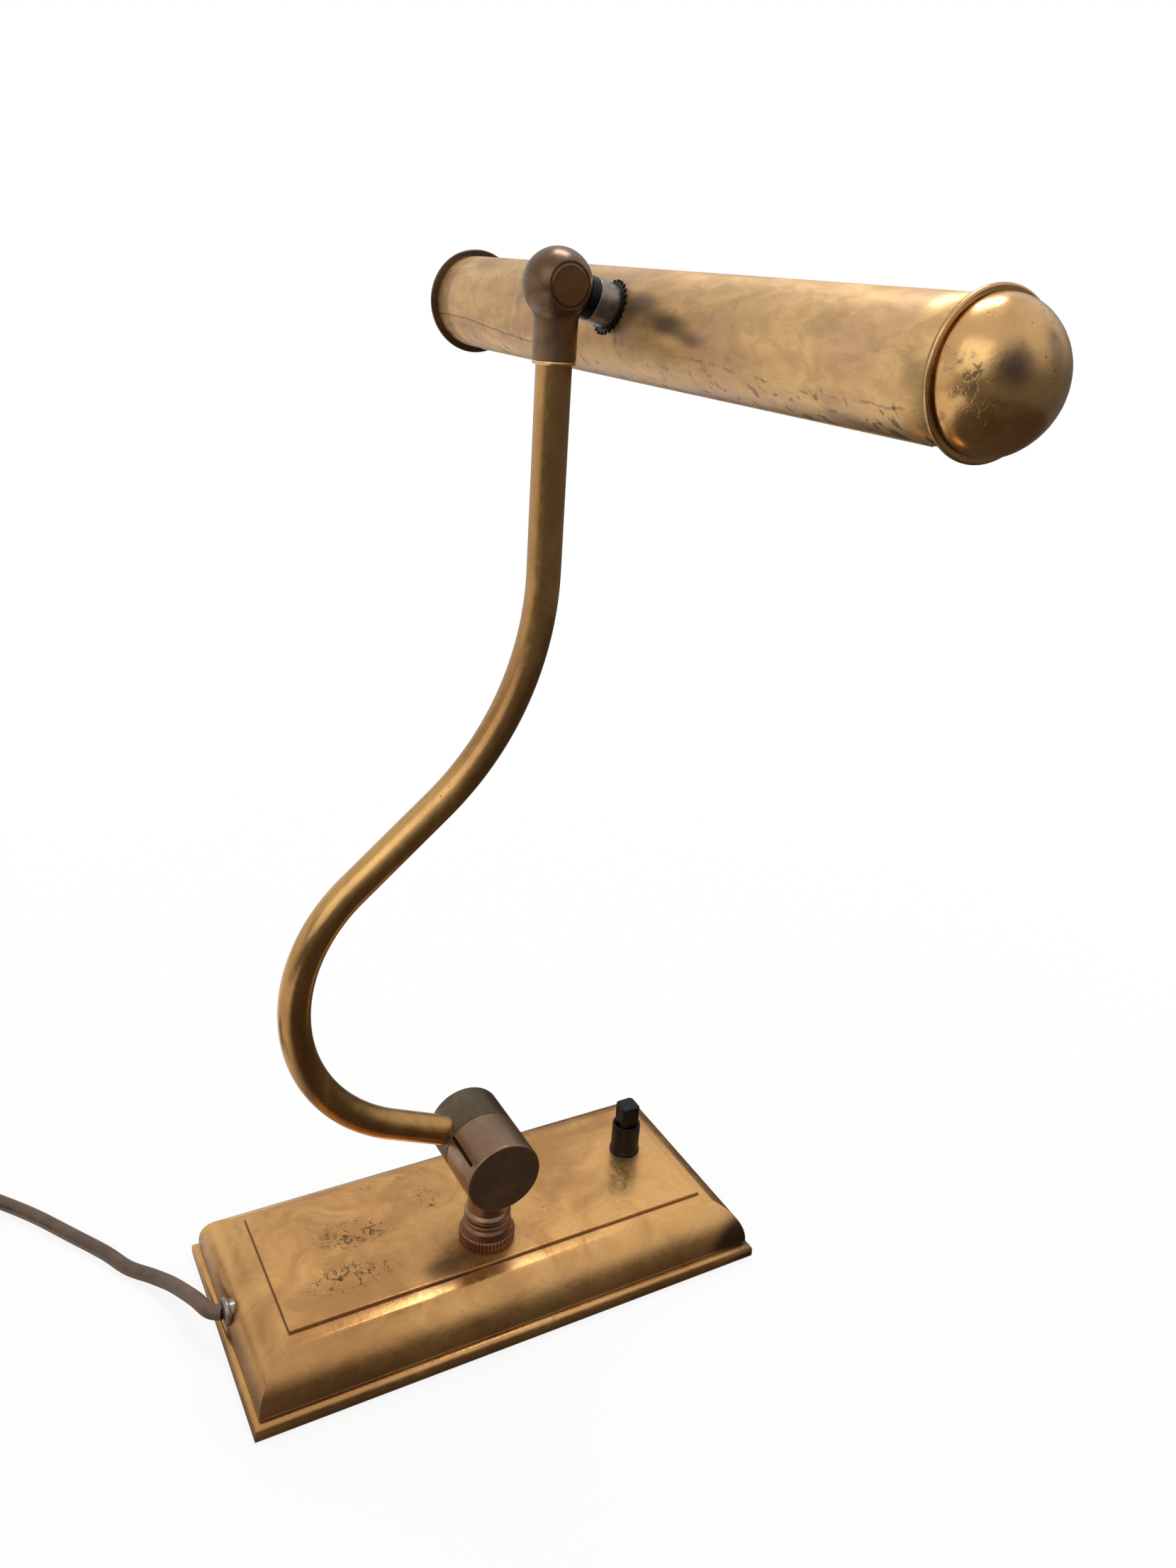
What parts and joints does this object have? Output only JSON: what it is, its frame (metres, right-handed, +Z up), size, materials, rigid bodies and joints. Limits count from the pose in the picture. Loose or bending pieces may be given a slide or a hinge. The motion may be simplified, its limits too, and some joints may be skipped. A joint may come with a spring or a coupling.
{
  "type": "piano lamp",
  "caption": "Piano lamp: stepped rectangular base, drum swivel on a post, S-shaped tube arm, ball knuckle and long tubular shade with domed ends, push switch and coiled cord.",
  "frame": {"origin": "middle of the underside of the felt, on the table", "axes": "+X along the base towards the push switch, +Y across the base away from the post, +Z up"},
  "size_m": [0.3939, 0.3368, 0.4063],
  "materials": {
    "base_brass": "aged cast brass with dark pitted patina",
    "ballast_iron": "rough cast iron",
    "plate_steel": "plain steel sheet",
    "felt": "dark green felt",
    "screw_steel": "plain steel",
    "nickel": "dull nickel plate",
    "cord_brown": "brown flex, soft sheen",
    "clamp_plastic": "ivory moulding",
    "lead_insulation": "insulated leads",
    "switch_black": "black moulding, satin",
    "button_black": "black moulding, worn gloss",
    "contact_brass": "bright brass",
    "spring_steel": "spring steel",
    "stud_brass": "turned brass",
    "collar_bronze": "dark reddish bronze patina",
    "drum_bronze": "dark brown bronze patina, soft gloss",
    "arm_brass": "aged polished brass",
    "sleeving": "heat-proof sleeving",
    "knuckle_bronze": "dark brown bronze patina",
    "ring_brass": "bright worn edge",
    "sleeve_steel": "grey steel, darkened",
    "washer_black": "blackened steel",
    "shade_brass": "aged lacquered brass with water marks",
    "cap_brass": "aged spun brass, brighter dome",
    "bracket_steel": "zinc-plated steel",
    "socket_plastic": "dark brown moulding",
    "bulb_glass": "clear glass",
    "bulb_base": "nickelled brass screw cap",
    "filament": "glass mount and wire",
    "plug_brown": "brown moulding"
  },
  "bodies": {
    "base": {"base_shell": "base_brass", "base_weight": "ballast_iron", "bottom_plate": "plate_steel", "felt_pad": "felt", "base_screws": "screw_steel", "cord_grommet": "nickel", "cord_end": "cord_brown", "cord_clamp": "clamp_plastic", "base_leads": "lead_insulation", "switch_body": "switch_black", "switch_terminals": "contact_brass", "switch_collar": "switch_black", "switch_spring": "spring_steel", "pivot_stud": "stud_brass", "stud_washer": "screw_steel", "stud_nut": "screw_steel", "retaining_nut": "stud_brass", "cord_run": "cord_brown", "cord_coil": "cord_brown", "cord_tail": "cord_brown", "plug_relief": "plug_brown", "plug_body": "plug_brown", "plug_blades": "contact_brass"},
    "button": {"push_button": "button_black"},
    "collar": {"knurled_collar": "collar_bronze"},
    "post": {"drum_front": "drum_bronze", "hinge_bolt": "screw_steel", "wave_washer": "spring_steel"},
    "arm": {"drum_rear": "drum_bronze", "arm_tube": "arm_brass", "arm_leads": "sleeving", "knuckle_body": "knuckle_bronze", "neck_ring": "ring_brass", "pivot_screws": "knuckle_bronze"},
    "eye": {"knuckle_eye": "sleeve_steel", "friction_washer": "washer_black", "stem_clip": "spring_steel"},
    "head": {"sleeve": "sleeve_steel", "lock_washer": "washer_black", "clamp_washer": "screw_steel", "clamp_nut": "screw_steel", "shade_tube": "shade_brass", "cap_near": "cap_brass", "cap_far": "cap_brass", "lamp_bracket": "bracket_steel", "bracket_rivets": "bracket_steel", "socket_near": "socket_plastic", "socket_far": "socket_plastic", "bulb_near": "bulb_glass", "bulb_far": "bulb_glass", "bulb_bases": "bulb_base", "filaments": "filament", "head_leads": "sleeving"}
  },
  "joints": [
    {"name": "button_press", "type": "slide", "parent": "base", "child": "button", "axis": [0, 0, -1], "range_m": [0, 0.003], "stiffness_N_per_m": 600, "springref_m": -0.003, "deforming": ["switch_spring"]},
    {"name": "collar_turn", "type": "hinge", "parent": "base", "child": "collar", "pos_m": [-0.004, -0.0175, 0.034], "axis": [0, 0, 1], "range_deg": [0, 90]},
    {"name": "base_swivel", "type": "hinge", "parent": "base", "child": "post", "pos_m": [-0.004, -0.0175, 0.0425], "axis": [0, 0, 1], "range_deg": [-140, 140]},
    {"name": "arm_tilt", "type": "hinge", "parent": "post", "child": "arm", "pos_m": [-0.004, 0, 0.0687], "axis": [0, 1, 0], "range_deg": [-45, 45]},
    {"name": "shade_tilt", "type": "hinge", "parent": "arm", "child": "eye", "pos_m": [0.01552, 0, 0.39502], "axis": [0, 1, 0], "range_deg": [-50, 3]},
    {"name": "shade_turn", "type": "hinge", "parent": "eye", "child": "head", "pos_m": [0.01552, -0.0019, 0.39502], "axis": [0.9537, 0, -0.3007], "range_deg": [-45, 45]}
  ]
}
